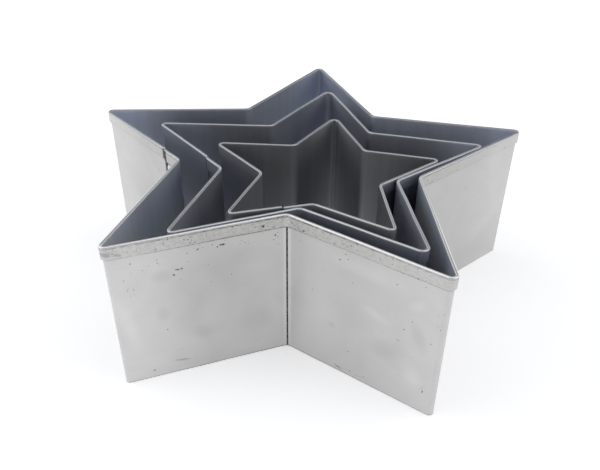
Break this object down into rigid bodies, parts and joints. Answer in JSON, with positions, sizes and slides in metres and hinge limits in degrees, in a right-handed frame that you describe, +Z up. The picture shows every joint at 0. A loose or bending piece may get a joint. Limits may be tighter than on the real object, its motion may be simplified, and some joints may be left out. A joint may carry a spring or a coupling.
{
  "type": "nested star cookie cutter set",
  "caption": "Nested five-pointed star cookie cutters of bare aluminium strip with a folded rim, lapped and riveted seams and plain cutting edges.",
  "frame": {"origin": "under the middle of the large cutter's box, on the surface that the set stands on", "axes": "+X from the large star's left tip to its right tip, +Y towards its rear tip, +Z up from the cutting edge to the rim"},
  "size_m": [0.1488, 0.1416, 0.05],
  "materials": {
    "strip": "rolled sheet, bare, satin",
    "rivet": "set soft rivet, bare"
  },
  "bodies": {
    "large_cutter": {"large_strip": "strip", "large_rivet_upper": "rivet", "large_rivet_lower": "rivet"},
    "medium_cutter": {"medium_strip": "strip", "medium_rivet_upper": "rivet", "medium_rivet_lower": "rivet"},
    "small_cutter": {"small_strip": "strip", "small_rivet_upper": "rivet", "small_rivet_lower": "rivet"}
  },
  "joints": [
    {"name": "medium_lift", "type": "slide", "parent": "large_cutter", "child": "medium_cutter", "axis": [0, 0, 1], "range_m": [0, 0.06]},
    {"name": "small_lift", "type": "slide", "parent": "large_cutter", "child": "small_cutter", "axis": [0, 0, 1], "range_m": [0, 0.06]}
  ]
}
